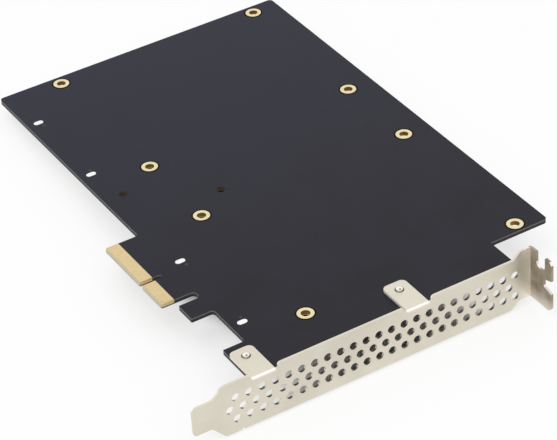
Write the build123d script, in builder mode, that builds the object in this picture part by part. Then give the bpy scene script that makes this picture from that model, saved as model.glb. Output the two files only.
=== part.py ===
from build123d import *
import os

os.makedirs("parts", exist_ok=True)

# A storage card for two 2.5 inch drives: a board with an x4 card edge, a slot bracket at one end
# and two receptacles under the board that the drives plug into.
# The origin is at the tip of the card edge, in the middle of its key notch and of the board.
# +X runs along the board to the bracket, +Y from the card edge into the case, +Z out of the
# solder side, which faces up. The drives and all parts are on the component side, below.

# Board and the clearances that all pieces share
board_t = 1.57
plating_t = 0.05
plating_clearance = 0.01
seat_clearance = 0.05

# Drives: published hole pattern of a 2.5 inch drive, and where the two drives lie
drive_hole_pitch_x = 61.72
drive_hole_pitch_y = 76.60
drive_pitch = 95.22
near_drive_x = 10.78
front_holes_y = 33.3
drive_hole_d = 3.0
drive_ring_d = 5.4

# Board outline round the drives
far_margin = 4.1
near_margin = 3.6
top_margin = 9.75
board_corner_r = 1.4
near_corner_r = 1.2
inner_corner_r = 1.2
notch_corner_r = 0.4

# Card edge: contacts, key notch and the edges beside it
contact_pitch = 1.0
contact_w = 0.7
short_contacts = 11
long_contacts = 21
key_to_contact = 1.5
contact_margin = 1.1
contact_top_y = 4.65
present_setback = 1.1
solder_side_set_back = [1]
component_side_set_back = [17, 31]
key_w = 1.9
key_depth = 7.5
bevel_l = 0.5
bevel_depth = 0.35
segment_chamfer = 0.5
key_chamfer = 0.4
main_edge_y = 11.8
hook_slot_w = 3.6
hook_slot_r = 1.5
hook_w = 7.7
foot_y = 4.2
foot_l = 16.0
foot_corner_r = 0.3

# Bracket: one folded sheet, published overall sizes
sheet_t = 0.86
bracket_x = 58.8
bracket_l = 120.02
bracket_h = 18.42
bracket_middle_y = 43.49
bracket_rise = 2.4
board_end_gap = 0.5
lip_corner_gap = 4.5
fold_r = 0.4

# Tongue at the lower end of the bracket
tongue_w = 9.97
tongue_drop = 3.53
tongue_end_chamfer = 1.3
tongue_end_r = 1.0
tongue_top_l = 7.32
tongue_shoulder_l = 2.8
tongue_curve_r = 3.0
tongue_low_l = 6.02
tongue_heel_l = 4.5
tongue_heel_r = 1.5
nick_l = 16.32
nick_w = 1.0
nick_depth = 0.6

# Lip at the upper end of the bracket
lip_reach = 11.43
lip_rise = 2.54
lip_ramp_l = 2.6
lip_top_ramp_gap = 7.0
lip_low_ramp_gap = 7.9
lip_slot_w = 4.42
lip_slot_x = 6.0
lip_slot_depth = 5.34
lip_chamfer = 1.0
lip_corner_r = 2.0
finger_notch_depth = 3.85
finger_notch_mouth = 4.9
finger_notch_floor = 2.8
finger_notch_drop = 9.29
finger_notch_r = 0.9

# Vent holes in the bracket
vent_d = 2.7
vent_pitch_y = 4.49
vent_pitch_z = 3.95
vent_tongue_gap = 14.63
vent_lip_gap = 6.61
vent_middle_depth = 9.6

# Two tabs of the bracket that lie on the solder side, and their screws
tab_w = 8.0
tab_reach = 13.3
tab_first_y = 7.95
tab_spacing = 53.8
tab_tip_r = 1.8
tab_fold_r = 0.1
tab_relief_w = 0.9
tab_relief_depth = 1.75
tab_relief_r = 0.9
screw_inset = 3.9
screw_d = 2.9
screw_l = 2.8
screw_hole_d = 3.2
screw_head_d = 5.6
screw_head_h = 1.9
screw_head_chamfer = 0.6
screw_end_chamfer = 0.35
recess_w = 0.7
recess_l = 2.9
recess_depth = 1.1

# Drive receptacles, offset from the drive's centre line as on every such drive
receptacle_offset = 4.8
housing_w = 41.5
housing_rear_y = 15.6
housing_l = 7.4
housing_h = 5.6
housing_edge = 0.3
mouth_depth = 5.4
mouth_middle = 3.5
mouth_h = 1.9
sata_pitch = 1.27
signal_contacts = 7
power_contacts = 15
segment_gap = 5.08
inner_end_margin = 1.2
outer_end_margin = 1.6
key_leg_w = 1.1
key_leg_h = 1.3
guide_w = 2.6
guide_l = 2.4
guide_h = 3.4
guide_chamfer = 0.9
ear_inset = 1.21
ear_l = 1.7
ear_h = 2.8
peg_inset = 2.4
peg_setback = 0.85
peg_d = 1.1

# Receptacle contacts
strip_t = 0.2
strip_w = 0.6
strip_inset = 0.05
strip_tip_gap = 0.7
strip_bump = 0.35
strip_bump_l = 1.6
strip_heel_gap = 0.4
strip_foot_l = 1.3
strip_clearance = 0.04

# Board locks of the receptacles, soldered in slots of the board
lock_y = 15.75
lock_l = 3.3
lock_w = 1.9
lock_blade_l = 2.2
lock_blade_t = 0.5
lock_blade_depth = 2.3
lock_rise = 0.1

# Controller with the two holes across its corners for a cooler
controller_y = 32.2
cooler_hole_dx = 8.1
cooler_hole_dy = 13.3
cooler_hole_d = 3.0
controller_w = 14.0
controller_h = 1.4
controller_pitch = 0.8
controller_side_leads = 16

# Chip packages: standoff and leads
standoff = 0.1
lead_t = 0.15
lead_shoulder = 0.25
lead_run = 0.3
lead_foot = 0.55
fine_lead_w = 0.32
wide_lead_w = 0.42
package_chamfer = 0.25

# Eight lead packages of the flash memory and the buck converter
small_body_l = 4.9
small_body_w = 3.9
small_body_h = 1.55
small_pitch = 1.27
small_side_leads = 4
flash_dx = 3.4
flash_y = 53.5
buck_dx = -6.5
buck_y = 66.5

# Voltage regulator with three leads and a wide tab
regulator_l = 6.5
regulator_w = 3.5
regulator_h = 1.6
regulator_pitch = 2.3
regulator_leads_per_side = 3
regulator_lead_w = 0.7
regulator_tab_w = 3.0
regulator_dx = 5.5
regulator_y = 92.5

# Crystal, inductors and large capacitors
crystal_l = 5.0
crystal_w = 3.2
crystal_base_h = 0.5
crystal_lid_h = 0.6
crystal_lid_inset = 0.25
crystal_dx = -5.5
crystal_y = 44.8
inductor_w = 6.6
inductor_h = 3.0
inductor_corner = 0.9
inductor_edge = 0.3
inductor_dx = 5.5
inductor_y = 67.5
inductor_spacing = 11.5
bulk_l = 7.3
bulk_w = 4.3
bulk_h = 2.8
bulk_edge = 0.4
bulk_dx = -6.5
bulk_y = 77.0
bulk_spacing = 8.0
bulk_count = 3

# Small ceramic capacitors and resistors with plated ends
chip_end_l = 0.35
chip_end_t = 0.03
ceramic_l = 1.6
ceramic_w = 0.8
ceramic_h = 0.8
ceramic_dx = 10.6
ceramic_spacing = 4.2
ceramic_side_count = 4
coupling_l = 1.0
coupling_w = 0.5
coupling_h = 0.5
coupling_first_x = -4.0
coupling_spacing = 2.0
coupling_count = 8
coupling_y = 9.9
resistor_l = 1.6
resistor_w = 0.8
resistor_h = 0.45
resistor_dx = -5.5
resistor_y = 50.0
resistor_spacing = 1.8
resistor_count = 5

# Status lamps beside the bracket
lamp_l = 1.6
lamp_w = 0.8
lamp_base_h = 0.25
lamp_lens_h = 0.35
lamp_inset = 2.2
lamp_y = 88.0
lamp_spacing = 3.0

# Places worked out from the sizes above
solder_z = board_t / 2
component_z = -board_t / 2
far_drive_x = near_drive_x - drive_pitch
drives_y = front_holes_y + drive_hole_pitch_y / 2
gap_x = (near_drive_x + far_drive_x) / 2
board_far_x = far_drive_x - drive_hole_pitch_x / 2 - far_margin
board_near_x = near_drive_x + drive_hole_pitch_x / 2 + near_margin
board_top_y = front_holes_y + drive_hole_pitch_y + top_margin
board_end_x = bracket_x - board_end_gap
short_end_x = key_to_contact + (short_contacts - 1) * contact_pitch + contact_margin
long_end_x = -(key_to_contact + (long_contacts - 1) * contact_pitch + contact_margin)
hook_x = short_end_x + hook_slot_w
foot_x = board_end_x - foot_l
bracket_top_y = bracket_middle_y + bracket_l / 2
lip_inner_y = bracket_top_y - sheet_t
board_corner_y = lip_inner_y - lip_corner_gap
bracket_top_z = solder_z + bracket_rise
bracket_low_z = bracket_top_z - bracket_h
tab_top_z = solder_z + sheet_t
screw_x = bracket_x - tab_reach + screw_inset
tab_ys = [tab_first_y, tab_first_y + tab_spacing]
receptacle_xs = {
    "far": far_drive_x + receptacle_offset,
    "near": near_drive_x + receptacle_offset,
}
mouth_y = housing_rear_y + housing_l
signal_span = (signal_contacts - 1) * sata_pitch
power_span = (power_contacts - 1) * sata_pitch
first_contact_x = -(signal_span + segment_gap + power_span) / 2
power_first_x = first_contact_x + signal_span + segment_gap
sata_contact_xs = [first_contact_x + i * sata_pitch for i in range(signal_contacts)]
sata_contact_xs += [power_first_x + i * sata_pitch for i in range(power_contacts)]
mouth_low_z = component_z - mouth_middle - mouth_h / 2
strip_z = mouth_low_z + strip_inset + strip_t / 2
ear_inner_x = (signal_span + segment_gap + power_span) / 2 + ear_inset
ear_w = housing_w / 2 - ear_inner_x
lock_spacing = housing_w / 2 + ear_inner_x


def corner(outline, x, y):
    """The corner of a flat outline that lies at x, y."""
    return outline.vertices().sort_by_distance((x, y, 0))[0]


def save(piece, name):
    """Labels one finished piece and writes its file."""
    piece.part.label = name
    export_step(piece.part, f"parts/{name}.step")


# Board: the outline with its card edge, hook and foot, then every hole in it
with BuildPart() as circuit_board:
    with BuildSketch(Plane.XY.offset(component_z)) as outline:
        with BuildLine():
            Polyline(
                (board_far_x, main_edge_y),
                (long_end_x, main_edge_y),
                (long_end_x, 0),
                (short_end_x, 0),
                (short_end_x, main_edge_y),
                (hook_x, main_edge_y),
                (hook_x, foot_y),
                (hook_x + hook_w, foot_y),
                (hook_x + hook_w, main_edge_y),
                (foot_x, main_edge_y),
                (foot_x, foot_y),
                (board_end_x, foot_y),
                (board_end_x, board_corner_y),
                (board_near_x, board_corner_y),
                (board_near_x, board_top_y),
                (board_far_x, board_top_y),
                close=True,
            )
        make_face()
        fillet(corner(outline, board_far_x, main_edge_y), board_corner_r)
        fillet(corner(outline, board_far_x, board_top_y), board_corner_r)
        fillet(corner(outline, board_near_x, board_top_y), near_corner_r)
        fillet(corner(outline, board_near_x, board_corner_y), notch_corner_r)
        fillet(corner(outline, long_end_x, main_edge_y), inner_corner_r)
        fillet(corner(outline, hook_x + hook_w, main_edge_y), inner_corner_r)
        fillet(corner(outline, foot_x, main_edge_y), inner_corner_r)
        fillet(corner(outline, short_end_x, main_edge_y), hook_slot_r)
        fillet(corner(outline, hook_x, main_edge_y), hook_slot_r)
        fillet(corner(outline, hook_x, foot_y), foot_corner_r)
        fillet(corner(outline, hook_x + hook_w, foot_y), foot_corner_r)
        fillet(corner(outline, foot_x, foot_y), foot_corner_r)
        fillet(corner(outline, board_end_x, foot_y), foot_corner_r)
        SlotOverall(2 * key_depth, key_w, rotation=90, mode=Mode.SUBTRACT)
        chamfer(corner(outline, long_end_x, 0), segment_chamfer)
        chamfer(corner(outline, short_end_x, 0), segment_chamfer)
        chamfer(corner(outline, -key_w / 2, 0), key_chamfer)
        chamfer(corner(outline, key_w / 2, 0), key_chamfer)
        with Locations((far_drive_x, drives_y), (near_drive_x, drives_y)):
            with GridLocations(drive_hole_pitch_x, drive_hole_pitch_y, 2, 2):
                Circle(drive_hole_d / 2 + plating_t + plating_clearance, mode=Mode.SUBTRACT)
        with Locations(
            (gap_x - cooler_hole_dx, controller_y - cooler_hole_dy),
            (gap_x + cooler_hole_dx, controller_y + cooler_hole_dy),
        ):
            Circle(cooler_hole_d / 2, mode=Mode.SUBTRACT)
        with Locations(*[(screw_x, y) for y in tab_ys]):
            Circle(screw_hole_d / 2, mode=Mode.SUBTRACT)
        for x in receptacle_xs.values():
            with Locations((x, lock_y)):
                with GridLocations(lock_spacing, 0, 2, 1):
                    SlotOverall(
                        lock_l + 2 * plating_clearance,
                        lock_w + 2 * plating_clearance,
                        rotation=90,
                        mode=Mode.SUBTRACT,
                    )
            with Locations((x, lock_y + peg_setback)):
                with GridLocations(lock_spacing - 2 * peg_inset, 0, 2, 1):
                    Circle(peg_d / 2 + seat_clearance, mode=Mode.SUBTRACT)
    extrude(amount=board_t)
    with BuildSketch(Plane.YZ):
        for side in (1, -1):
            with BuildLine():
                Polyline(
                    (0, side * (board_t / 2 - bevel_depth)),
                    (bevel_l, side * board_t / 2),
                    (0, side * board_t / 2),
                    close=True,
                )
            make_face()
    extrude(amount=short_end_x - long_end_x, both=True, mode=Mode.SUBTRACT)
save(circuit_board, "circuit_board")


# Plated holes that the drive screws pass through, with a ring on both faces
with BuildPart() as barrel:
    with BuildSketch(Plane.XY.offset(solder_z)):
        Circle(drive_ring_d / 2)
    extrude(amount=plating_t)
    with BuildSketch(Plane.XY.offset(component_z)):
        Circle(drive_ring_d / 2)
    extrude(amount=-plating_t)
    Cylinder(drive_hole_d / 2 + plating_t, board_t)
    Cylinder(drive_hole_d / 2, board_t + 4 * plating_t, mode=Mode.SUBTRACT)

with BuildPart() as drive_hole_barrels:
    with Locations((far_drive_x, drives_y), (near_drive_x, drives_y)):
        with GridLocations(drive_hole_pitch_x, drive_hole_pitch_y, 2, 2):
            add(barrel.part)
save(drive_hole_barrels, "drive_hole_barrels")


def edge_contacts(face_z, outward, set_back):
    """The card edge's contacts on one face. Those in set_back start further from the tip."""
    with BuildPart() as contacts:
        with BuildSketch(Plane.XY.offset(face_z)):
            for number in range(1, short_contacts + long_contacts + 1):
                steps = short_contacts - number
                x = key_to_contact + steps * contact_pitch
                if steps < 0:
                    x = -key_to_contact + (steps + 1) * contact_pitch
                low_y = bevel_l + (present_setback if number in set_back else 0)
                with Locations((x, low_y)):
                    Rectangle(
                        contact_w, contact_top_y - low_y, align=(Align.CENTER, Align.MIN)
                    )
        extrude(amount=outward * plating_t)
    return contacts


save(edge_contacts(solder_z, 1, solder_side_set_back), "edge_contacts_solder_side")
save(edge_contacts(component_z, -1, component_side_set_back), "edge_contacts_component_side")


# Bracket: the upright with its tongue, the lip folded outwards, and two tabs folded inwards
lip_top_z = bracket_top_z + lip_rise
lip_low_z = lip_top_z - bracket_h
lip_top_ramp_y = bracket_top_y - lip_top_ramp_gap
lip_low_ramp_y = bracket_top_y - lip_low_ramp_gap
tongue_top_z = bracket_top_z - tongue_drop
tongue_low_z = tongue_top_z - tongue_w
tongue_end_y = bracket_top_y - bracket_l
tongue_shoulder_y = tongue_end_y + tongue_top_l
tongue_heel_y = tongue_end_y + tongue_low_l
vent_columns = 1 + round((bracket_l - vent_tongue_gap - vent_lip_gap) / vent_pitch_y)
vent_middle_y = tongue_end_y + vent_tongue_gap + (vent_columns - 1) * vent_pitch_y / 2
fold_start_y = lip_inner_y - fold_r
tab_fold_z = tab_top_z - sheet_t - tab_fold_r

with BuildPart() as bracket:
    with BuildSketch(Plane.YZ.offset(bracket_x)) as upright:
        with BuildLine():
            Polyline(
                (tongue_end_y, tongue_top_z),
                (tongue_shoulder_y, tongue_top_z),
                (tongue_shoulder_y + tongue_shoulder_l, bracket_top_z),
                (lip_top_ramp_y, bracket_top_z),
                (lip_top_ramp_y + lip_ramp_l, lip_top_z),
                (fold_start_y, lip_top_z),
                (fold_start_y, lip_low_z),
                (lip_low_ramp_y + lip_ramp_l, lip_low_z),
                (lip_low_ramp_y, bracket_low_z),
                (tongue_heel_y + tongue_heel_l, bracket_low_z),
                (tongue_heel_y, tongue_low_z),
                (tongue_end_y, tongue_low_z),
                close=True,
            )
        make_face()
        fillet(corner(upright, tongue_shoulder_y, tongue_top_z), tongue_curve_r)
        fillet(
            corner(upright, tongue_shoulder_y + tongue_shoulder_l, bracket_top_z),
            tongue_curve_r,
        )
        fillet(corner(upright, tongue_heel_y + tongue_heel_l, bracket_low_z), tongue_heel_r)
        fillet(corner(upright, tongue_heel_y, tongue_low_z), tongue_heel_r)
        chamfer(corner(upright, tongue_end_y, tongue_top_z), tongue_end_chamfer)
        fillet(corner(upright, tongue_end_y, tongue_low_z), tongue_end_r)
        with Locations((tongue_end_y + nick_l, bracket_low_z)):
            Rectangle(nick_w, 2 * nick_depth, mode=Mode.SUBTRACT)
        with Locations((vent_middle_y, bracket_top_z - vent_middle_depth)):
            with GridLocations(vent_pitch_y, 2 * vent_pitch_z, vent_columns, 2):
                Circle(vent_d / 2, mode=Mode.SUBTRACT)
        with Locations(
            (vent_middle_y - vent_pitch_y / 2, bracket_top_z - vent_middle_depth)
        ):
            with GridLocations(vent_pitch_y, 0, vent_columns, 1):
                Circle(vent_d / 2, mode=Mode.SUBTRACT)
        with Locations(*[(y, bracket_top_z) for y in tab_ys]):
            Rectangle(
                tab_w,
                bracket_top_z - tab_fold_z,
                align=(Align.CENTER, Align.MAX),
                mode=Mode.SUBTRACT,
            )
            Rectangle(
                tab_w + 2 * tab_relief_w,
                tab_relief_depth,
                align=(Align.CENTER, Align.MAX),
                mode=Mode.SUBTRACT,
            )
        for y in tab_ys:
            for side in (-1, 1):
                relief_y = y + side * (tab_w / 2 + tab_relief_w)
                fillet(corner(upright, relief_y, bracket_top_z), tab_relief_r)
    extrude(amount=sheet_t)

    # Fold between the upright and the lip
    with BuildSketch(Plane.XY.offset(lip_low_z)):
        with Locations((bracket_x + sheet_t + fold_r, fold_start_y)):
            Circle(sheet_t + fold_r)
            Circle(fold_r, mode=Mode.SUBTRACT)
            Rectangle(
                sheet_t + fold_r,
                sheet_t + fold_r,
                align=(Align.MAX, Align.MIN),
                mode=Mode.INTERSECT,
            )
    extrude(amount=bracket_h)

    # Lip with the screw slot open upwards and the finger notch open outwards
    with BuildSketch(Plane.XZ.offset(-bracket_top_y)) as lip:
        lip_end_x = bracket_x + lip_reach
        notch_z = lip_top_z - finger_notch_drop
        with BuildLine():
            Polyline(
                (bracket_x + sheet_t + fold_r, lip_low_z),
                (lip_end_x, lip_low_z),
                (lip_end_x, notch_z - finger_notch_mouth / 2),
                (lip_end_x - finger_notch_depth, notch_z - finger_notch_floor / 2),
                (lip_end_x - finger_notch_depth, notch_z + finger_notch_floor / 2),
                (lip_end_x, notch_z + finger_notch_mouth / 2),
                (lip_end_x, lip_top_z),
                (bracket_x + sheet_t + fold_r, lip_top_z),
                close=True,
            )
        make_face()
        floor_x = lip_end_x - finger_notch_depth
        fillet(corner(lip, floor_x, notch_z - finger_notch_floor / 2), finger_notch_r)
        fillet(corner(lip, floor_x, notch_z + finger_notch_floor / 2), finger_notch_r)
        fillet(corner(lip, lip_end_x, lip_low_z), lip_corner_r)
        chamfer(corner(lip, lip_end_x, lip_top_z), lip_chamfer)
        with Locations((bracket_x + lip_slot_x, lip_top_z)):
            SlotOverall(2 * lip_slot_depth, lip_slot_w, rotation=90, mode=Mode.SUBTRACT)
    extrude(amount=sheet_t)

    # Tabs with their folds and threaded holes
    for y in tab_ys:
        with BuildSketch(Plane.XZ.offset(-y - tab_w / 2)):
            with Locations((bracket_x - tab_fold_r, tab_fold_z)):
                Circle(sheet_t + tab_fold_r)
                Circle(tab_fold_r, mode=Mode.SUBTRACT)
                Rectangle(
                    sheet_t + tab_fold_r,
                    sheet_t + tab_fold_r,
                    align=(Align.MIN, Align.MIN),
                    mode=Mode.INTERSECT,
                )
        extrude(amount=tab_w)
        with BuildSketch(Plane.XY.offset(solder_z)) as tab:
            with Locations((bracket_x - tab_fold_r, y)):
                Rectangle(tab_reach - tab_fold_r, tab_w, align=(Align.MAX, Align.CENTER))
            fillet(tab.vertices().group_by(Axis.X)[0], tab_tip_r)
            with Locations((screw_x, y)):
                Circle(screw_d / 2 + seat_clearance, mode=Mode.SUBTRACT)
        extrude(amount=sheet_t)
save(bracket, "bracket")


# Screws that go through the board from the component side into the tabs
with BuildPart() as screw:
    with BuildSketch(Plane.XY.offset(component_z)):
        Circle(screw_head_d / 2)
    extrude(amount=-screw_head_h)
    chamfer(screw.edges().group_by(Axis.Z)[0], screw_head_chamfer)
    with BuildSketch(Plane.XY.offset(component_z)):
        Circle(screw_d / 2)
    extrude(amount=screw_l)
    chamfer(screw.edges().group_by(Axis.Z)[-1], screw_end_chamfer)
    with BuildSketch(Plane.XY.offset(component_z - screw_head_h)):
        Rectangle(recess_l, recess_w)
        Rectangle(recess_w, recess_l)
    extrude(amount=recess_depth, mode=Mode.SUBTRACT)

with BuildPart() as bracket_screws:
    with Locations(*[(screw_x, y) for y in tab_ys]):
        add(screw.part)
save(bracket_screws, "bracket_screws")


def sata_housing(x):
    """One receptacle housing at x: block, guides, rear ears, pegs, keyed mouths, contact ways."""
    signal_low = first_contact_x - outer_end_margin
    signal_high = first_contact_x + signal_span + inner_end_margin
    power_low = power_first_x - inner_end_margin
    power_high = power_first_x + power_span + outer_end_margin
    low = (Align.MIN, Align.MIN)
    with BuildPart() as housing:
        with BuildSketch(Plane.XY.offset(component_z)):
            with Locations((x, housing_rear_y)):
                Rectangle(housing_w, housing_l, align=(Align.CENTER, Align.MIN))
        extrude(amount=-housing_h)
        chamfer(housing.edges().group_by(Axis.Z)[0], housing_edge)

        # Guides beyond the mouth, with tapered ends
        with BuildSketch(Plane.XY.offset(component_z - (housing_h - guide_h) / 2)) as guides:
            with Locations((x, mouth_y)):
                with GridLocations(housing_w - guide_w, 0, 2, 1):
                    Rectangle(guide_w, guide_l, align=(Align.CENTER, Align.MIN))
            chamfer(guides.vertices().group_by(Axis.Y)[-1], guide_chamfer)
        extrude(amount=-guide_h)

        # Low ears behind the block, which hold the board locks
        with BuildSketch(Plane.XY.offset(component_z)):
            with Locations((x, housing_rear_y)):
                with GridLocations(lock_spacing, 0, 2, 1):
                    Rectangle(ear_w, ear_l, align=(Align.CENTER, Align.MAX))
        extrude(amount=-ear_h)
        with BuildSketch(Plane.XY.offset(component_z)):
            with Locations((x, lock_y)):
                with GridLocations(lock_spacing, 0, 2, 1):
                    Rectangle(
                        lock_blade_t + 2 * seat_clearance,
                        lock_blade_l + 2 * seat_clearance,
                    )
        extrude(amount=-lock_blade_depth - seat_clearance, mode=Mode.SUBTRACT)

        # Pegs that stand in the board
        with BuildSketch(Plane.XY.offset(component_z)):
            with Locations((x, lock_y + peg_setback)):
                with GridLocations(lock_spacing - 2 * peg_inset, 0, 2, 1):
                    Circle(peg_d / 2)
        extrude(amount=board_t)

        # Keyed mouths of the signal and power segments
        with BuildSketch(Plane.XZ.offset(-mouth_y)):
            with Locations((x + signal_low, mouth_low_z)):
                Rectangle(signal_high - signal_low, mouth_h, align=low)
                Rectangle(key_leg_w, mouth_h + key_leg_h, align=low)
            with Locations((x + power_low, mouth_low_z)):
                Rectangle(power_high - power_low, mouth_h, align=low)
            with Locations((x + power_high, mouth_low_z)):
                Rectangle(key_leg_w, mouth_h + key_leg_h, align=(Align.MAX, Align.MIN))
        extrude(amount=mouth_depth, mode=Mode.SUBTRACT)

        # Ways through the rear wall for the contacts
        with BuildSketch(Plane.XZ.offset(mouth_depth - mouth_y)):
            with Locations(*[(x + dx, strip_z) for dx in sata_contact_xs]):
                Rectangle(strip_w + 2 * strip_clearance, strip_t + 2 * strip_clearance)
        extrude(amount=housing_l - mouth_depth, mode=Mode.SUBTRACT)
    return housing


def sata_contacts(x):
    """The contacts of one receptacle: sprung strips in the mouth, with feet on the board."""
    tip_y = mouth_y - strip_tip_gap
    bump_y = tip_y - strip_bump_l / 2
    beam_y = tip_y - strip_bump_l
    heel_y = housing_rear_y - strip_heel_gap
    top_z = strip_z + strip_t / 2
    low_z = strip_z - strip_t / 2
    with BuildPart() as strip:
        with BuildSketch(Plane.YZ):
            with BuildLine():
                Polyline(
                    (tip_y, top_z),
                    (bump_y, top_z + strip_bump),
                    (beam_y, top_z),
                    (heel_y, top_z),
                    (heel_y, component_z),
                    (heel_y - strip_t - strip_foot_l, component_z),
                    (heel_y - strip_t - strip_foot_l, component_z - strip_t),
                    (heel_y - strip_t, component_z - strip_t),
                    (heel_y - strip_t, low_z),
                    (beam_y, low_z),
                    (bump_y, low_z + strip_bump),
                    (tip_y, low_z),
                    close=True,
                )
            make_face()
        extrude(amount=strip_w / 2, both=True)
    with BuildPart() as contacts:
        with Locations(*[(x + dx, 0) for dx in sata_contact_xs]):
            add(strip.part)
    return contacts


for place, x in receptacle_xs.items():
    save(sata_housing(x), f"sata_housing_{place}")
    save(sata_contacts(x), f"sata_contacts_{place}")


# Board locks: a blade in each ear, soldered solid in its slot and proud on the solder side
with BuildPart() as sata_board_locks:
    lock_xs = [x + side * lock_spacing / 2 for x in receptacle_xs.values() for side in (-1, 1)]
    lock_places = [(x, lock_y) for x in lock_xs]
    with BuildSketch(Plane.XY.offset(component_z)):
        with Locations(*lock_places):
            SlotOverall(lock_l, lock_w, rotation=90)
    extrude(amount=board_t + lock_rise)
    with BuildSketch(Plane.XY.offset(component_z)):
        with Locations(*lock_places):
            Rectangle(lock_blade_t, lock_blade_l)
    extrude(amount=-lock_blade_depth)
save(sata_board_locks, "sata_board_locks")


def package(x, y, length, width, height):
    """A moulded chip body that stands off the board."""
    with BuildPart() as body:
        with BuildSketch(Plane.XY.offset(component_z - standoff)):
            with Locations((x, y)):
                Rectangle(length, width)
        extrude(amount=-height)
        chamfer(body.edges().group_by(Axis.Z)[0], package_chamfer)
    return body


def gull_lead(height, width):
    """One lead that leaves a body at x = 0 half way up its side and steps down to the board."""
    middle = component_z - standoff - height / 2
    knee = lead_shoulder + lead_run
    end = knee + lead_foot
    with BuildPart() as lead:
        with BuildSketch(Plane.XZ):
            with BuildLine():
                Polyline(
                    (0, middle + lead_t / 2),
                    (lead_shoulder, middle + lead_t / 2),
                    (knee, component_z),
                    (end, component_z),
                    (end, component_z - lead_t),
                    (knee + lead_t, component_z - lead_t),
                    (lead_shoulder + lead_t, middle - lead_t / 2),
                    (0, middle - lead_t / 2),
                    close=True,
                )
            make_face()
        extrude(amount=width / 2, both=True)
    return lead


def lead_rows(x, y, body_size, lead, pitch, count, angles):
    """Rows of one lead round a body, one row on the side that faces each angle."""
    with BuildPart() as rows:
        for angle in angles:
            with Locations(Location((x, y, 0), (0, 0, angle))):
                with Locations((body_size / 2, 0)):
                    with GridLocations(0, pitch, 1, count):
                        add(lead.part)
    return rows


# Controller between the two drives
controller_lead = gull_lead(controller_h, fine_lead_w)
save(package(gap_x, controller_y, controller_w, controller_w, controller_h), "controller_chip")
save(
    lead_rows(
        gap_x,
        controller_y,
        controller_w,
        controller_lead,
        controller_pitch,
        controller_side_leads,
        (0, 90, 180, 270),
    ),
    "controller_leads",
)

# Flash memory and buck converter in the same kind of package
small_lead = gull_lead(small_body_h, wide_lead_w)
for name, x, y in (
    ("flash", gap_x + flash_dx, flash_y),
    ("buck_converter", gap_x + buck_dx, buck_y),
):
    save(package(x, y, small_body_w, small_body_l, small_body_h), f"{name}_chip")
    save(
        lead_rows(
            x, y, small_body_w, small_lead, small_pitch, small_side_leads, (0, 180)
        ),
        f"{name}_leads",
    )

# Voltage regulator: three leads on one side, one wide tab on the other
regulator_x = gap_x + regulator_dx
save(
    package(regulator_x, regulator_y, regulator_w, regulator_l, regulator_h),
    "regulator_chip",
)
narrow_lead = gull_lead(regulator_h, regulator_lead_w)
wide_tab = gull_lead(regulator_h, regulator_tab_w)
with BuildPart() as regulator_leads:
    with Locations((regulator_x + regulator_w / 2, regulator_y)):
        with GridLocations(0, regulator_pitch, 1, regulator_leads_per_side):
            add(narrow_lead.part)
    with Locations(Location((regulator_x - regulator_w / 2, regulator_y, 0), (0, 0, 180))):
        add(wide_tab.part)
save(regulator_leads, "regulator_leads")

# Crystal: a ceramic base under a smaller metal lid
with BuildPart() as crystal:
    with BuildSketch(Plane.XY.offset(component_z)):
        with Locations((gap_x + crystal_dx, crystal_y)):
            Rectangle(crystal_l, crystal_w)
    extrude(amount=-crystal_base_h)
    with BuildSketch(Plane.XY.offset(component_z - crystal_base_h)) as lid:
        with Locations((gap_x + crystal_dx, crystal_y)):
            Rectangle(crystal_l - 2 * crystal_lid_inset, crystal_w - 2 * crystal_lid_inset)
        fillet(lid.vertices(), crystal_lid_inset)
    extrude(amount=-crystal_lid_h)
save(crystal, "crystal")

# Power inductors: pressed blocks with cut corners
with BuildPart() as power_inductors:
    with BuildSketch(Plane.XY.offset(component_z)) as blocks:
        for step in (0, 1):
            with Locations((gap_x + inductor_dx, inductor_y + step * inductor_spacing)):
                Rectangle(inductor_w, inductor_w)
        chamfer(blocks.vertices(), inductor_corner)
    extrude(amount=-inductor_h)
    chamfer(power_inductors.edges().group_by(Axis.Z)[0], inductor_edge)
save(power_inductors, "power_inductors")

# Bulk capacitors: moulded blocks in a row
with BuildPart() as bulk_capacitors:
    with BuildSketch(Plane.XY.offset(component_z)):
        for step in range(bulk_count):
            with Locations((gap_x + bulk_dx, bulk_y + step * bulk_spacing)):
                Rectangle(bulk_l, bulk_w)
    extrude(amount=-bulk_h)
    chamfer(bulk_capacitors.edges().group_by(Axis.Z)[0], bulk_edge)
save(bulk_capacitors, "bulk_capacitors")


def chip_parts(places, length, width, height):
    """Small two ended parts along Y, with plated ends a little larger than the body."""
    with BuildPart() as group:
        with BuildSketch(Plane.XY.offset(component_z - chip_end_t)):
            with Locations(*places):
                Rectangle(width, length)
        extrude(amount=-height)
        with BuildSketch(Plane.XY.offset(component_z)):
            with Locations(*places):
                with GridLocations(0, length - chip_end_l, 1, 2):
                    Rectangle(width + 2 * chip_end_t, chip_end_l)
        extrude(amount=-height - 2 * chip_end_t)
    return group


# Ceramic capacitors down both sides of the controller
ceramic_places = []
for side in (-1, 1):
    for step in range(ceramic_side_count):
        offset_y = (step - (ceramic_side_count - 1) / 2) * ceramic_spacing
        ceramic_places.append((gap_x + side * ceramic_dx, controller_y + offset_y))
save(chip_parts(ceramic_places, ceramic_l, ceramic_w, ceramic_h), "ceramic_capacitors")

# Coupling capacitors of the card edge's signal pairs
coupling_places = [
    (coupling_first_x - step * coupling_spacing, coupling_y) for step in range(coupling_count)
]
save(chip_parts(coupling_places, coupling_l, coupling_w, coupling_h), "coupling_capacitors")

# Resistors beside the flash memory
resistor_places = [
    (gap_x + resistor_dx + step * resistor_spacing, resistor_y) for step in range(resistor_count)
]
save(chip_parts(resistor_places, resistor_l, resistor_w, resistor_h), "resistors")

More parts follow.
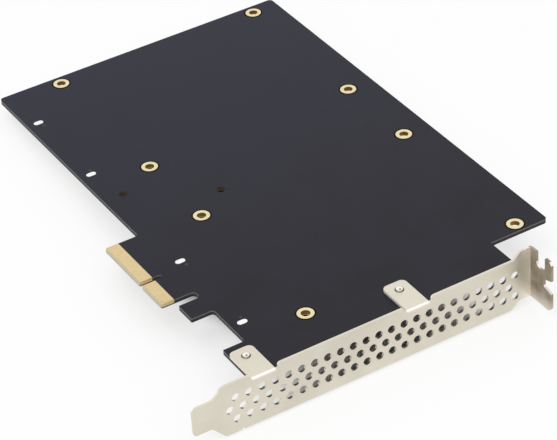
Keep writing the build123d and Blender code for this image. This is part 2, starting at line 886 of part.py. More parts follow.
# Status lamps at the bracket's end: a base with a smaller lens on it
with BuildPart() as status_lamps:
    lamp_places = [(board_end_x - lamp_inset, lamp_y + step * lamp_spacing) for step in (0, 1)]
    with BuildSketch(Plane.XY.offset(component_z)):
        with Locations(*lamp_places):
            Rectangle(lamp_l, lamp_w)
    extrude(amount=-lamp_base_h)
    with BuildSketch(Plane.XY.offset(component_z - lamp_base_h)):
        with Locations(*lamp_places):
            Rectangle(lamp_l - 2 * chip_end_l, lamp_w)
    extrude(amount=-lamp_lens_h)
save(status_lamps, "status_lamps")
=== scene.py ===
import math

import bpy
from mathutils import Matrix, Vector


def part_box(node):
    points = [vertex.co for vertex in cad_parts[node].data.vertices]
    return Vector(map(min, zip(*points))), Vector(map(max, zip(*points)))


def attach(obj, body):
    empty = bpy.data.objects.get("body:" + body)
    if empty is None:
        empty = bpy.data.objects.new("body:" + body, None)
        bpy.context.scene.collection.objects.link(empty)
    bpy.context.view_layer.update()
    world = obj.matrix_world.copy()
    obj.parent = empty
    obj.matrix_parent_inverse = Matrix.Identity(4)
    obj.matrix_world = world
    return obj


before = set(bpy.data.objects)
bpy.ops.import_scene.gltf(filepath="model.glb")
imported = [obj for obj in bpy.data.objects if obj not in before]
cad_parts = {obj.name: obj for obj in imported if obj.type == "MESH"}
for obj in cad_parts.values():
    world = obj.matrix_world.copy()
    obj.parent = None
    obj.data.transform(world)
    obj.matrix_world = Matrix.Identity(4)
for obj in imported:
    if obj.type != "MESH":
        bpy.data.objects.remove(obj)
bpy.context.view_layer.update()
MM = 0.001

# Places read from the frame: the board's two faces and the boxes of the main nodes
board_low, board_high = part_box("circuit_board")
solder_z = board_high.z
component_z = board_low.z
board_t = solder_z - component_z
contacts_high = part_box("edge_contacts_solder_side")[1]
screws_low, screws_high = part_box("bracket_screws")
bracket_low, bracket_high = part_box("bracket")
housing_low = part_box("sata_housing_far")[0]

# Sizes and levels that the frame doesn't give
RING_R = 2.7 * MM
SCREW_HEAD_R = 2.8 * MM
SKIN = 0.02 * MM  # a point this close to a face counts as on it
ROOM_LIGHT = 0.58  # strength of the room's light on the card, where 1 would be seen as white


# Materials
def new_material(name):
    """An empty node material and its principled shader."""
    material = bpy.data.materials.new(name)
    material.use_nodes = True
    return material, material.node_tree.nodes["Principled BSDF"]


def add_node(material, kind, **settings):
    node = material.node_tree.nodes.new(kind)
    for name, value in settings.items():
        setattr(node, name, value)
    return node


def join(material, output, socket):
    material.node_tree.links.new(output, socket)


def place(material):
    """The place on the piece, in metres of the card's own frame."""
    return add_node(material, "ShaderNodeTexCoord").outputs["Object"]


def grain(material, scale, detail=3, stretch=(1, 1, 1)):
    """Soft noise with `scale` spots to a metre, stretched along the piece."""
    mapping = add_node(material, "ShaderNodeMapping")
    mapping.inputs["Scale"].default_value = stretch
    noise = add_node(material, "ShaderNodeTexNoise")
    noise.inputs["Scale"].default_value = scale
    noise.inputs["Detail"].default_value = detail
    join(material, place(material), mapping.inputs["Vector"])
    join(material, mapping.outputs["Vector"], noise.inputs["Vector"])
    return noise.outputs["Fac"]


def shift(material, value, low, high, new_low, new_high):
    """Maps a value from one range to another, held at its ends."""
    node = add_node(material, "ShaderNodeMapRange")
    node.inputs["From Min"].default_value = low
    node.inputs["From Max"].default_value = high
    node.inputs["To Min"].default_value = new_low
    node.inputs["To Max"].default_value = new_high
    join(material, value, node.inputs["Value"])
    return node.outputs["Result"]


def rise(material, value, low, high):
    """0 up to a low value, 1 from a high one."""
    return shift(material, value, low, high, 0, 1)


def fall(material, value, low, high):
    """1 up to a low value, 0 from a high one."""
    return shift(material, value, low, high, 1, 0)


def spread(material, noise, new_low=0, new_high=1):
    """Noise, which mostly stays within 0.3 to 0.7, mapped to another range."""
    return shift(material, noise, 0.3, 0.7, new_low, new_high)


def blend_colours(material, factor, first, second):
    """Mixes two colours, each a plain colour or another output."""
    mix = add_node(material, "ShaderNodeMix", data_type="RGBA")
    join(material, factor, mix.inputs[0])
    for value, socket in ((first, mix.inputs[6]), (second, mix.inputs[7])):
        if isinstance(value, bpy.types.NodeSocket):
            join(material, value, socket)
        else:
            socket.default_value = (*value, 1)
    return mix.outputs[2]


def relief(material, shader, height, depth):
    """Bump of `depth` metres from a height between 0 and 1."""
    bump = add_node(material, "ShaderNodeBump")
    bump.inputs["Strength"].default_value = 1
    bump.inputs["Distance"].default_value = depth
    join(material, height, bump.inputs["Height"])
    join(material, bump.outputs["Normal"], shader.inputs["Normal"])


def calculate(material, operation, first, second):
    node = add_node(material, "ShaderNodeMath", operation=operation)
    for value, socket in ((first, node.inputs[0]), (second, node.inputs[1])):
        if isinstance(value, bpy.types.NodeSocket):
            join(material, value, socket)
        else:
            socket.default_value = value
    return node.outputs[0]


def product(material, first, *others):
    for other in others:
        first = calculate(material, "MULTIPLY", first, other)
    return first


def size_of(material, value):
    return calculate(material, "ABSOLUTE", value, 0)


def past_either_end(material, value, low, high):
    """How far a value lies outside two ends, below 0 between them."""
    from_middle = calculate(material, "SUBTRACT", value, (low + high) / 2)
    return calculate(material, "SUBTRACT", size_of(material, from_middle), (high - low) / 2)


def distance_between(material, first, second):
    """Length of a flat step, from its two parts."""
    first = product(material, first, first)
    second = product(material, second, second)
    return calculate(material, "SQRT", calculate(material, "ADD", first, second), 0)


def seen_rays(material, path):
    """1 for the rays that show the background: straight, mirrored or through glass."""
    seen = path.outputs["Is Camera Ray"]
    for kind in ("Is Glossy Ray", "Is Transmission Ray"):
        seen = calculate(material, "MAXIMUM", seen, path.outputs[kind])
    return seen


def split_place(material):
    split = add_node(material, "ShaderNodeSeparateXYZ")
    join(material, place(material), split.inputs[0])
    return split


def board_material():
    """Dark satin mask on both faces, bare laminate on cut edges and between the edge contacts."""
    material, shader = new_material("board_mask_and_laminate")
    split = split_place(material)
    depth = size_of(material, split.outputs["Z"])
    face = calculate(material, "GREATER_THAN", depth, board_t / 2 - SKIN)
    cloud = rise(material, grain(material, 60, 4), 0.35, 0.65)
    mask = blend_colours(material, cloud, (0.0125, 0.0122, 0.0165), (0.0155, 0.015, 0.0215))
    # Painted sheen: the mask is painted lighter and bluer further off
    far_sheen = shift(material, split.outputs["X"], board_high.x * 0.4, board_low.x, 0, 0.8)
    mask = blend_colours(material, far_sheen, mask, (0.0205, 0.022, 0.0385))  # bluer further off

    # Between the contacts and at their bevel the board is bare
    past_contacts = 2 * MM
    low = calculate(material, "LESS_THAN", split.outputs["Y"], contacts_high.y)
    inside = calculate(
        material, "LESS_THAN", split.outputs["X"], contacts_high.x + past_contacts
    )
    bare = product(material, low, inside)
    laminate = blend_colours(material, cloud, (0.66, 0.51, 0.27), (0.72, 0.57, 0.31))
    bevel_y, bevel_end_y = 0.42 * MM, 0.56 * MM
    tip = fall(material, split.outputs["Y"], bevel_y, bevel_end_y)
    laminate = blend_colours(material, tip, laminate, (0.56, 0.53, 0.38))
    # Painted shade: low in the board's thickness the bare laminate is painted dark
    low_shade = fall(material, split.outputs["Z"], -board_t * 0.30, -board_t * 0.22)
    pale = blend_colours(material, low_shade, laminate, (0.045, 0.04, 0.03))

    # A cut edge is dark layered glass, with a painted highlight as a paler line along its solder
    # side arris
    arris_highlight = rise(material, split.outputs["Z"], board_t * 0.14, board_t * 0.24)
    layers = spread(material, grain(material, 900, 3, stretch=(0.6, 0.6, 5)))
    glass = blend_colours(material, layers, (0.018, 0.019, 0.017), (0.05, 0.05, 0.043))
    cut = blend_colours(material, arris_highlight, glass, (0.16, 0.16, 0.165))

    # The plain holes inside the board are drilled, so their walls are clean brown resin
    edge_margin = 15 * MM
    past_x = past_either_end(material, split.outputs["X"], board_low.x, board_high.x)
    past_y = past_either_end(material, split.outputs["Y"], board_low.y, board_high.y)
    within_x = calculate(material, "LESS_THAN", past_x, -edge_margin)
    within_y = calculate(material, "LESS_THAN", past_y, -edge_margin)
    drilled = product(material, within_x, within_y)
    cut = blend_colours(material, drilled, cut, (0.065, 0.04, 0.017))
    covered = blend_colours(material, face, cut, mask)
    join(material, blend_colours(material, bare, covered, pale), shader.inputs["Base Color"])
    fine = grain(material, 1500, 2)
    join(material, spread(material, fine, 0.42, 0.52), shader.inputs["Roughness"])
    shader.inputs["Specular IOR Level"].default_value = 0.18
    shader.inputs["Specular Tint"].default_value = (0.92, 0.88, 1, 1)
    relief(material, shader, fine, 0.008 * MM)
    return material


def gold_material():
    """Thin gold plate, soft and even, with slight wear."""
    material, shader = new_material("gold_plate")
    wear = rise(material, grain(material, 700, 3), 0.35, 0.7)
    colour = blend_colours(material, wear, (0.80, 0.64, 0.37), (0.74, 0.585, 0.33))

    # The rings at the drive holes are paler, and their bores are painted redder and darker as
    # shade
    split = split_place(material)
    ring = calculate(material, "GREATER_THAN", split.outputs["Y"], contacts_high.y)
    colour = blend_colours(material, ring, colour, (0.82, 0.73, 0.45))
    depth = size_of(material, split.outputs["Z"])
    rim = 0.10 * MM
    bore_shade = fall(material, depth, board_t / 2 - rim, board_t / 2 - SKIN)
    colour = blend_colours(material, bore_shade, colour, (0.24, 0.12, 0.03))
    join(material, colour, shader.inputs["Base Color"])
    shader.inputs["Metallic"].default_value = 1
    join(material, shift(material, wear, 0, 1, 0.28, 0.42), shader.inputs["Roughness"])
    relief(material, shader, grain(material, 5000, 2), 0.004 * MM)
    return material


def bracket_material():
    """Nickel plated sheet, satin, with a fine rolled grain along the sheet."""
    material, shader = new_material("nickel_plated_sheet")
    lines = grain(material, 900, 4, stretch=(1, 0.12, 1))
    cloud = spread(material, grain(material, 90, 3))
    colour = blend_colours(material, cloud, (0.695, 0.655, 0.55), (0.755, 0.71, 0.60))

    # Painted reflection of shade: the lip's plate is painted warmer and darker, in patches and
    # less so low down
    split = split_place(material)
    fold_y, lip_face_y = bracket_high.y - 1.3 * MM, bracket_high.y - 0.9 * MM
    lip_low_z, lip_full_shade_z = -13 * MM, -8 * MM
    lip_shade = rise(material, split.outputs["Y"], fold_y, lip_face_y)
    lip_shade_patches = spread(material, grain(material, 260, 3), 0.75, 1)
    upper = shift(material, split.outputs["Z"], lip_low_z, lip_full_shade_z, 0.35, 1)
    lip_shade = product(material, lip_shade, lip_shade_patches, upper)

    # Painted highlight: the upright is painted pale and dull beside the lip's fold
    pale_from_y, pale_y = bracket_high.y - 5 * MM, bracket_high.y - 1.5 * MM
    fold_side_highlight = rise(material, split.outputs["Y"], pale_from_y, pale_y)
    colour = blend_colours(material, fold_side_highlight, colour, (0.97, 0.89, 0.77))
    # Painted reflection of shade on the lip
    colour = blend_colours(material, lip_shade, colour, (0.24, 0.195, 0.13))

    # Painted highlights: the tabs' folds are painted paler where they face between up and out,
    # and their sheared side edges are painted pale
    facing = add_node(material, "ShaderNodeSeparateXYZ")
    surface = add_node(material, "ShaderNodeNewGeometry")
    join(material, surface.outputs["True Normal"], facing.inputs[0])
    turned = product(material, facing.outputs["X"], facing.outputs["Z"])
    fold_highlight = rise(material, turned, 0.12, 0.3)
    colour = blend_colours(material, fold_highlight, colour, (0.87, 0.81, 0.75))
    tab_reach = 14 * MM
    aside = rise(material, size_of(material, facing.outputs["Y"]), 0.7, 0.85)
    on_tab = calculate(material, "GREATER_THAN", split.outputs["Z"], solder_z)
    inward = calculate(material, "LESS_THAN", split.outputs["X"], bracket_low.x + tab_reach)
    # Painted highlight on the tabs' sheared side walls
    lit_sheared_edges = product(material, aside, on_tab, inward)
    colour = blend_colours(material, lit_sheared_edges, colour, (0.96, 0.88, 0.80))
    join(material, colour, shader.inputs["Base Color"])
    dull = calculate(material, "MAXIMUM", lit_sheared_edges, product(material, fold_side_highlight, 0.5))
    join(material, shift(material, dull, 0, 1, 1, 0.1), shader.inputs["Metallic"])
    join(material, spread(material, lines, 0.34, 0.46), shader.inputs["Roughness"])
    relief(material, shader, lines, 0.006 * MM)
    return material


def screw_material():
    """Bright plated steel, with painted shade in the thread round the screws' ends."""
    material, shader = new_material("plated_screw_steel")
    split = split_place(material)
    axis_x = (screws_low.x + screws_high.x) / 2
    along = calculate(material, "SUBTRACT", split.outputs["X"], axis_x)
    across = past_either_end(
        material, split.outputs["Y"], screws_low.y + SCREW_HEAD_R, screws_high.y - SCREW_HEAD_R
    )
    core_r, thread_r = 1.0 * MM, 1.15 * MM
    rim = rise(material, distance_between(material, along, across), core_r, thread_r)
    end = calculate(material, "GREATER_THAN", split.outputs["Z"], 0)
    thread_shade = product(material, rim, end)
    brushed = spread(material, grain(material, 1500, 2))
    plate = blend_colours(material, brushed, (0.70, 0.68, 0.63), (0.80, 0.78, 0.73))
    # Painted highlight: the ends are painted whiter than the rest of the plate
    plate = blend_colours(material, end, plate, (0.90, 0.89, 0.84))

    # Painted shade: a dark spot off the middle of the cut end stands for a dimple
    dimple_aside, dimple_r, dimple_rim_r = 0.35 * MM, 0.3 * MM, 0.5 * MM
    beyond = calculate(material, "SUBTRACT", along, dimple_aside)
    away = distance_between(material, beyond, across)
    dimple_shade = product(material, fall(material, away, dimple_r, dimple_rim_r), end)
    plate = blend_colours(material, dimple_shade, plate, (0.30, 0.28, 0.24))
    # Painted shade in the thread round each end
    plate = blend_colours(material, thread_shade, plate, (0.17, 0.15, 0.12))
    join(material, plate, shader.inputs["Base Color"])
    shader.inputs["Metallic"].default_value = 1
    join(material, shift(material, brushed, 0, 1, 0.3, 0.45), shader.inputs["Roughness"])
    relief(material, shader, grain(material, 2500, 2), 0.008 * MM)
    return material


def tin_material():
    """Bright tin with the soft ripple of solder that has set."""
    material, shader = new_material("set_tin")
    ripple = grain(material, 1200, 2)
    colour = blend_colours(
        material, spread(material, ripple), (0.78, 0.78, 0.76), (0.88, 0.88, 0.87)
    )
    join(material, colour, shader.inputs["Base Color"])
    shader.inputs["Metallic"].default_value = 1
    join(material, spread(material, ripple, 0.18, 0.34), shader.inputs["Roughness"])
    relief(material, shader, ripple, 0.015 * MM)
    return material


def solder_material():
    """Pale solder that has set dull, painted near white as a highlight too, brighter than the
    plated parts round it.
    """
    material, shader = new_material("set_solder")
    ripple = grain(material, 1800, 2)
    colour = blend_colours(
        material, spread(material, ripple), (0.93, 0.93, 0.92), (0.97, 0.97, 0.96)
    )
    join(material, colour, shader.inputs["Base Color"])
    shader.inputs["Metallic"].default_value = 0.5
    join(material, spread(material, ripple, 0.42, 0.58), shader.inputs["Roughness"])
    relief(material, shader, ripple, 0.01 * MM)
    return material


def plastic_material(name, dark, light, spots, depth, rough):
    """Moulded plastic with a fine even texture."""
    material, shader = new_material(name)
    texture = grain(material, spots, 3)
    colour = blend_colours(material, spread(material, texture), dark, light)
    join(material, colour, shader.inputs["Base Color"])
    roughness = spread(material, texture, rough - 0.06, rough + 0.06)
    join(material, roughness, shader.inputs["Roughness"])
    relief(material, shader, texture, depth)
    return material


def marked_mould(node, from_corner):
    """Chip mould with a shallow round mark near its first lead."""
    material, shader = new_material(node + "_mould")
    low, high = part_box(node)
    split = split_place(material)
    along = calculate(material, "SUBTRACT", split.outputs["X"], low.x + from_corner)
    across = calculate(material, "SUBTRACT", split.outputs["Y"], high.y - from_corner)
    away = distance_between(material, along, across)
    mark_r, mark_rim_r = 0.32 * MM, 0.42 * MM
    mark = fall(material, away, mark_r, mark_rim_r)
    texture = grain(material, 4000, 3)
    mottle = spread(material, texture)
    mould = blend_colours(material, mottle, (0.022, 0.022, 0.024), (0.034, 0.034, 0.036))
    mould = blend_colours(material, mark, mould, (0.05, 0.05, 0.052))
    join(material, mould, shader.inputs["Base Color"])
    join(material, shift(material, mark, 0, 1, 0.62, 0.3), shader.inputs["Roughness"])
    dish = product(material, mark, -4)
    relief(material, shader, calculate(material, "ADD", texture, dish), 0.02 * MM)
    return material


def banded_capacitor():
    """Moulded capacitor body with a darker band at its positive end."""
    material, shader = new_material("banded_capacitor_mould")
    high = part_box("bulk_capacitors")[1]
    split = split_place(material)
    band_w, band_outer_w = 1.65 * MM, 1.75 * MM
    band = rise(material, split.outputs["X"], high.x - band_outer_w, high.x - band_w)
    texture = grain(material, 2500, 3)
    mottle = spread(material, texture)
    body = blend_colours(material, mottle, (0.60, 0.33, 0.05), (0.68, 0.39, 0.07))
    body = blend_colours(material, band, body, (0.16, 0.07, 0.02))
    join(material, body, shader.inputs["Base Color"])
    join(material, shift(material, mottle, 0, 1, 0.4, 0.5), shader.inputs["Roughness"])
    relief(material, shader, texture, 0.01 * MM)
    return material


def lidded_crystal():
    """Fired base under a plated lid."""
    material, shader = new_material("crystal_base_and_lid")
    split = split_place(material)
    base_t, lid_rim = 0.5 * MM, 0.01 * MM
    lid_z = component_z - base_t
    lid = fall(material, split.outputs["Z"], lid_z, lid_z + lid_rim)
    texture = grain(material, 2500, 3)
    mottle = spread(material, texture)
    plate = blend_colours(material, mottle, (0.70, 0.66, 0.55), (0.78, 0.74, 0.63))
    base = blend_colours(material, mottle, (0.05, 0.045, 0.05), (0.08, 0.075, 0.08))
    join(material, blend_colours(material, lid, base, plate), shader.inputs["Base Color"])
    join(material, lid, shader.inputs["Metallic"])
    join(material, shift(material, mottle, 0, 1, 0.3, 0.42), shader.inputs["Roughness"])
    relief(material, shader, texture, 0.006 * MM)
    return material


def dress(node, material):
    """Gives a CAD node its finish."""
    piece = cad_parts[node]
    if not piece.material_slots:
        piece.data.materials.append(material)
    for slot in piece.material_slots:
        slot.material = material


gold = gold_material()
tin = tin_material()
housing_plastic = plastic_material(
    "housing_plastic", (0.012, 0.012, 0.013), (0.02, 0.02, 0.021), 2500, 0.01 * MM, 0.42
)
chip_mould = plastic_material(
    "chip_mould", (0.022, 0.022, 0.024), (0.034, 0.034, 0.036), 4000, 0.02 * MM, 0.6
)
inductor_powder = plastic_material(
    "pressed_powder", (0.09, 0.09, 0.095), (0.15, 0.15, 0.155), 3000, 0.03 * MM, 0.62
)
fired_ceramic = plastic_material(
    "fired_ceramic", (0.33, 0.22, 0.13), (0.42, 0.3, 0.19), 2500, 0.01 * MM, 0.55
)
lamp_resin = plastic_material(
    "lamp_resin", (0.75, 0.78, 0.62), (0.85, 0.87, 0.74), 2500, 0.004 * MM, 0.2
)

FINISHES = {
    "circuit_board": board_material(),
    "edge_contacts_solder_side": gold,
    "edge_contacts_component_side": gold,
    "drive_hole_barrels": gold,
    "bracket": bracket_material(),
    "bracket_screws": screw_material(),
    "sata_housing_far": housing_plastic,
    "sata_housing_near": housing_plastic,
    "sata_contacts_far": gold,
    "sata_contacts_near": gold,
    "sata_board_locks": solder_material(),
    "controller_chip": marked_mould("controller_chip", 1.3 * MM),
    "controller_leads": tin,
    "flash_chip": marked_mould("flash_chip", 0.8 * MM),
    "flash_leads": tin,
    "buck_converter_chip": marked_mould("buck_converter_chip", 0.8 * MM),
    "buck_converter_leads": tin,
    "regulator_chip": chip_mould,
    "regulator_leads": tin,
    "crystal": lidded_crystal(),
    "power_inductors": inductor_powder,
    "bulk_capacitors": banded_capacitor(),
    "ceramic_capacitors": fired_ceramic,
    "coupling_capacitors": fired_ceramic,
    "resistors": chip_mould,
    "status_lamps": lamp_resin,
}
for node, finish in FINISHES.items():
    dress(node, finish)


# Pieces too fine for the solids
def solids(node):
    """Lowest and highest corner of each separate solid of a node."""
    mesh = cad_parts[node].data
    group_of = {}

    def leader(key):
        while group_of[key] != key:
            group_of[key] = group_of[group_of[key]]
            key = group_of[key]
        return key

    places = [tuple(round(value / MM, 4) for value in vertex.co) for vertex in mesh.vertices]
    for key in places:
        group_of[key] = key
    for polygon in mesh.polygons:
        first = leader(places[polygon.vertices[0]])
        for index in polygon.vertices[1:]:
            group_of[leader(places[index])] = first
    groups = {}
    for key in places:
        groups.setdefault(leader(key), []).append(Vector(key) * MM)
    boxes = []
    for points in groups.values():
        low = Vector([min(point[axis] for point in points) for axis in range(3)])
        high = Vector([max(point[axis] for point in points) for axis in range(3)])
        boxes.append((low, high))
    return sorted(boxes, key=lambda box: tuple(box[0]))


def block(low, high, edge):
    """A block between two corners with its edges rounded."""
    bpy.ops.object.select_all(action="DESELECT")
    bpy.ops.mesh.primitive_cube_add(size=1, location=(low + high) / 2, scale=high - low)
    bpy.ops.object.transform_apply(location=True, rotation=False, scale=True)
    bpy.ops.object.mode_set(mode="EDIT")
    bpy.ops.mesh.select_all(action="SELECT")
    bpy.ops.mesh.bevel(offset=edge, segments=2, affect="EDGES")
    bpy.ops.object.mode_set(mode="OBJECT")
    return bpy.context.object


def move_points(piece, chosen, step):
    """Moves the points of a piece that `chosen` accepts."""
    bpy.ops.object.mode_set(mode="EDIT")
    bpy.ops.mesh.select_all(action="DESELECT")
    bpy.ops.object.mode_set(mode="OBJECT")
    for vertex in piece.data.vertices:
        vertex.select = chosen(vertex.co)
    bpy.ops.object.mode_set(mode="EDIT")
    bpy.ops.transform.translate(value=step)
    bpy.ops.object.mode_set(mode="OBJECT")


def solder_wedge(low, high, outward):
    """Solder that rises from the board to a lead: `outward` is the way its toe points."""
    edge_share, toe_share, hollow_share = 0.16, 0.72, 0.12
    height = high.z - low.z
    piece = block(low, high, height * edge_share)
    middle = (low + high) / 2
    reach = abs((high - low).dot(outward))
    move_points(
        piece,
        lambda point: (point - middle).dot(outward) > 0 and point.z < middle.z,
        (0, 0, height * toe_share),
    )
    move_points(
        piece,
        lambda point: abs((point - middle).dot(outward)) < reach / 2 and point.z < middle.z,
        -outward * reach * hollow_share,
    )
    return piece


def join_pieces(pieces, name, material):
    """One named piece of many small ones, which rides on the card."""
    bpy.ops.object.select_all(action="DESELECT")
    for piece in pieces:
        piece.select_set(True)
    bpy.context.view_layer.objects.active = pieces[0]
    bpy.ops.object.join()
    whole = bpy.context.object
    whole.name = name
    whole.data.name = name
    bpy.ops.object.transform_apply(location=True, rotation=True, scale=True)
    bpy.ops.object.shade_smooth_by_angle(angle=math.radians(40))
    whole.data.materials.clear()
    whole.data.materials.append(material)
    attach(whole, "root")
    return whole


def ring_clearances():
    """The mask keeps clear of each gold ring, and dark laminate shows there."""
    laminate, shader = new_material("dark_laminate")
    glass = spread(laminate, grain(laminate, 3000, 2))
    colour = blend_colours(laminate, glass, (0.008, 0.006, 0.004), (0.016, 0.012, 0.008))
    join(laminate, colour, shader.inputs["Base Color"])
    shader.inputs["Roughness"].default_value = 0.8
    shader.inputs["Specular IOR Level"].default_value = 0.05
    outer, thickness, from_ring = 3.25 * MM, 0.012 * MM, 0.01 * MM
    for side, face_z, outward in (("solder", solder_z, 1), ("component", component_z, -1)):
        rings = []
        for low, high in solids("drive_hole_barrels"):
            middle = (low + high) / 2
            bpy.ops.object.select_all(action="DESELECT")
            bpy.ops.mesh.primitive_circle_add(
                vertices=64, radius=outer, location=(middle.x, middle.y, face_z)
            )
            ring = bpy.context.object
            bpy.ops.object.mode_set(mode="EDIT")
            bpy.ops.mesh.select_all(action="SELECT")
            bpy.ops.mesh.extrude_edges_move()
            bpy.ops.transform.resize(
                value=((RING_R + from_ring) / outer,) * 2 + (1,),
                center_override=(middle.x, middle.y, face_z),
            )
            bpy.ops.mesh.select_all(action="SELECT")
            bpy.ops.mesh.extrude_region_move(
                TRANSFORM_OT_translate={"value": (0, 0, outward * thickness)}
            )
            bpy.ops.mesh.select_all(action="SELECT")
            bpy.ops.mesh.normals_make_consistent(inside=False)
            bpy.ops.object.mode_set(mode="OBJECT")
            rings.append(ring)
        join_pieces(rings, f"ring_clearances_{side}_side", laminate)


def plated_ends(node, end_l, material):
    """Plated ends of small two ended parts, each with its solder."""
    over, edge, toe_l = 0.012 * MM, 0.05 * MM, 0.28 * MM
    climb = 0.6  # share of the part's height that the solder climbs
    ends, wedges = [], []
    for low, high in solids(node):
        for side in (-1, 1):
            near, far = (low.y, low.y + end_l) if side < 0 else (high.y - end_l, high.y)
            ends.append(
                block(
                    Vector((low.x - over, near - over, low.z - over)),
                    Vector((high.x + over, far + over, component_z)),
                    edge,
                )
            )
            toe = high.y + over if side > 0 else low.y - over - toe_l
            top = component_z - (component_z - low.z) * climb
            wedges.append(
                solder_wedge(
                    Vector((low.x, toe, top)),
                    Vector((high.x, toe + toe_l, component_z)),
                    Vector((0, side, 0)),
                )
            )
    join_pieces(ends, f"{node}_ends", material)
    join_pieces(wedges, f"{node}_solder", material)


def end_plates(node, axis, plate_w, plate_t, material):
    """Folded terminals at both ends of each part: up its end, and out along the board."""
    foot_l, edge = 0.75 * MM, plate_t * 0.3
    climb = 0.62  # share of the part's height that the plate climbs
    across = 1 - axis
    plates = []
    for low, high in solids(node):
        middle = (low + high) / 2
        for side in (-1, 1):
            outer = high[axis] if side > 0 else low[axis]
            first, second = Vector(), Vector()
            first[axis], second[axis] = sorted((outer, outer + side * plate_t))
            first[across] = middle[across] - plate_w / 2
            second[across] = middle[across] + plate_w / 2
            first.z, second.z = component_z - (component_z - low.z) * climb, component_z
            plates.append(block(first.copy(), second.copy(), edge))
            first[axis], second[axis] = sorted((outer, outer + side * foot_l))
            first.z = component_z - plate_t
            plates.append(block(first, second, edge))
    join_pieces(plates, f"{node}_terminals", material)


def lead_solder(node, chip, foot_w, material):
    """Solder at the toe of every lead of a chip."""
    toe_l, toe_h, least_reach = 0.2 * MM, 0.14 * MM, 0.6 * MM
    chip_low, chip_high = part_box(chip)
    wedges = []
    for low, high in solids(node):
        middle = (low + high) / 2
        for axis in (0, 1):
            for side in (-1, 1):
                toe = high[axis] if side > 0 else low[axis]
                edge = chip_high[axis] if side > 0 else chip_low[axis]
                if (toe - edge) * side < least_reach:
                    continue
                outward = Vector()
                outward[axis] = side
                first, second = Vector(), Vector()
                first[axis], second[axis] = sorted((toe, toe + side * toe_l))
                across = 1 - axis
                half = max(foot_w, high[across] - low[across]) / 2
                first[across], second[across] = middle[across] - half, middle[across] + half
                first.z, second.z = component_z - toe_h, component_z
                wedges.append(solder_wedge(first, second, outward))
    join_pieces(wedges, f"{node}_solder", material)


LEAD_FOOT_WIDTHS = {
    "controller": 0.32 * MM,
    "flash": 0.42 * MM,
    "buck_converter": 0.42 * MM,
    "regulator": 0.7 * MM,
}

ring_clearances()
for node in ("ceramic_capacitors", "coupling_capacitors", "resistors"):
    plated_ends(node, 0.35 * MM, tin)
end_plates("bulk_capacitors", axis=0, plate_w=2.4 * MM, plate_t=0.12 * MM, material=tin)
end_plates("power_inductors", axis=0, plate_w=3.0 * MM, plate_t=0.15 * MM, material=tin)
for package, foot_w in LEAD_FOOT_WIDTHS.items():
    lead_solder(f"{package}_leads", f"{package}_chip", foot_w, tin)


# Floor: a large plane under the two lower edges that the card rests on
def floor_material():
    """Pale floor that keeps the card's shadow, and is seen as white where it lies open."""
    material, shader = new_material("pale_floor")
    shader.inputs["Roughness"].default_value = 0.9
    shader.inputs["Specular IOR Level"].default_value = 0.1
    glow = add_node(material, "ShaderNodeEmission")
    glow.inputs["Color"].default_value = (1, 1, 1, 1)
    glow.inputs["Strength"].default_value = 1
    path = add_node(material, "ShaderNodeLightPath")

    # How open the floor is to the room above it: hardly at all under the card
    occlusion = add_node(material, "ShaderNodeAmbientOcclusion", samples=48)
    occlusion.inputs["Distance"].default_value = 90 * MM
    openness = occlusion.outputs["AO"]
    sheltered = fall(material, openness, 0.06, 0.13)

    # Painted shadow: in view the sheltered floor is painted dark, and it is painted whiter the
    # more open it lies
    dark = product(material, sheltered, path.outputs["Is Camera Ray"])
    tone = blend_colours(material, dark, (0.92, 0.92, 0.92), (0.03, 0.022, 0.025))
    join(material, tone, shader.inputs["Base Color"])
    near_edge = shift(material, openness, 0.08, 0.17, 0, 0.7)
    far_off = shift(material, openness, 0.4, 0.95, 0, 0.23)
    white = calculate(material, "ADD", near_edge, far_off)
    white = product(material, seen_rays(material, path), white)

    # Under the card the floor glows for diffuse and mirrored rays, and so lights the component
    # side as a lit table does
    lit, mirrored = path.outputs["Is Diffuse Ray"], path.outputs["Is Glossy Ray"]
    passing = calculate(material, "MAXIMUM", lit, mirrored)
    passed = product(material, sheltered, passing, ROOM_LIGHT)
    mix = add_node(material, "ShaderNodeMixShader")
    join(material, calculate(material, "MAXIMUM", white, passed), mix.inputs[0])
    join(material, shader.outputs[0], mix.inputs[1])
    join(material, glow.outputs[0], mix.inputs[2])

    # From below the floor is clear, so that the component side can be seen
    clear = add_node(material, "ShaderNodeBsdfTransparent")
    side = add_node(material, "ShaderNodeNewGeometry")
    one_sided = add_node(material, "ShaderNodeMixShader")
    join(material, side.outputs["Backfacing"], one_sided.inputs[0])
    join(material, mix.outputs[0], one_sided.inputs[1])
    join(material, clear.outputs[0], one_sided.inputs[2])
    surface = material.node_tree.nodes["Material Output"].inputs["Surface"]
    join(material, one_sided.outputs[0], surface)
    return material


def rest_floor():
    """The card rests on the bracket's lower edge and the far receptacle's rear lower edge."""
    bracket_edge = Vector((bracket_low.x, 0, bracket_low.z))
    far_edge = Vector((housing_low.x, 0, housing_low.z))
    tilt = math.atan2(far_edge.z - bracket_edge.z, bracket_edge.x - far_edge.x)
    bpy.ops.object.select_all(action="DESELECT")
    bpy.ops.mesh.primitive_plane_add(size=40, location=(0, 0, 0))
    floor = bpy.context.object
    floor.name = "floor"
    floor.data.transform(Matrix.Rotation(tilt, 4, "Y"))
    floor.data.transform(Matrix.Translation(bracket_edge))
    floor.data.materials.append(floor_material())


rest_floor()


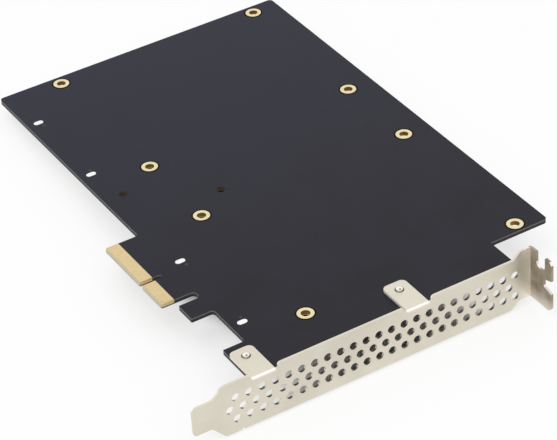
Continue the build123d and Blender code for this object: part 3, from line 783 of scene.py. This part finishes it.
# Light: two large soft lamps, by the card edge and by the bracket, in a pale room
def soft_lamp(name, spot, aim, size, power):
    """A round lamp that faces its aim."""
    lamp_data = bpy.data.lights.new(name, "AREA")
    lamp_data.shape = "DISK"
    lamp_data.size = size
    lamp_data.energy = power
    lamp = bpy.data.objects.new(name, lamp_data)
    bpy.context.collection.objects.link(lamp)
    lamp.location = spot
    lamp.rotation_euler = (Vector(aim) - Vector(spot)).to_track_quat("-Z", "Y").to_euler()


def pale_room():
    """A plain room: its light is soft, and it is seen and mirrored as white."""
    world = bpy.data.worlds.new("pale_room")
    bpy.context.scene.world = world
    world.use_nodes = True
    background = world.node_tree.nodes["Background"]
    background.inputs["Color"].default_value = (1, 1, 1, 1)
    seen = seen_rays(world, add_node(world, "ShaderNodeLightPath"))
    join(world, shift(world, seen, 0, 1, ROOM_LIGHT, 1), background.inputs["Strength"])


soft_lamp("edge_side_lamp", spot=(0.3, -0.55, 1.1), aim=(0, 0, 0), size=0.7, power=5.1)
soft_lamp("bracket_side_lamp", spot=(0.7, 0.2, 1.1), aim=(0, 0.05, 0), size=0.8, power=2.5)
pale_room()


# Camera: where the photograph was taken from, found from the eight drive holes
IMAGE_W = 557  # pixels
FOCAL_LENGTH = 2588  # pixels
SENSOR_W = 36  # mm
camera_place = Vector((570.7, -268.9, 473.9)) * MM
camera_aim = Vector((3.66, 47.6, 6.74)) * MM
camera_roll = math.radians(-4.16)

camera_data = bpy.data.cameras.new("photo_camera")
camera_data.sensor_fit = "HORIZONTAL"
camera_data.sensor_width = SENSOR_W
camera_data.lens = FOCAL_LENGTH / IMAGE_W * SENSOR_W
camera_data.clip_start = 0.01
camera_data.clip_end = 100
camera = bpy.data.objects.new("photo_camera", camera_data)
bpy.context.collection.objects.link(camera)
look = (camera_aim - camera_place).to_track_quat("-Z", "Y").to_matrix().to_4x4()
camera.matrix_world = (
    Matrix.Translation(camera_place) @ look @ Matrix.Rotation(camera_roll, 4, "Z")
)
bpy.context.scene.camera = camera
bpy.context.scene.view_settings.view_transform = "Standard"
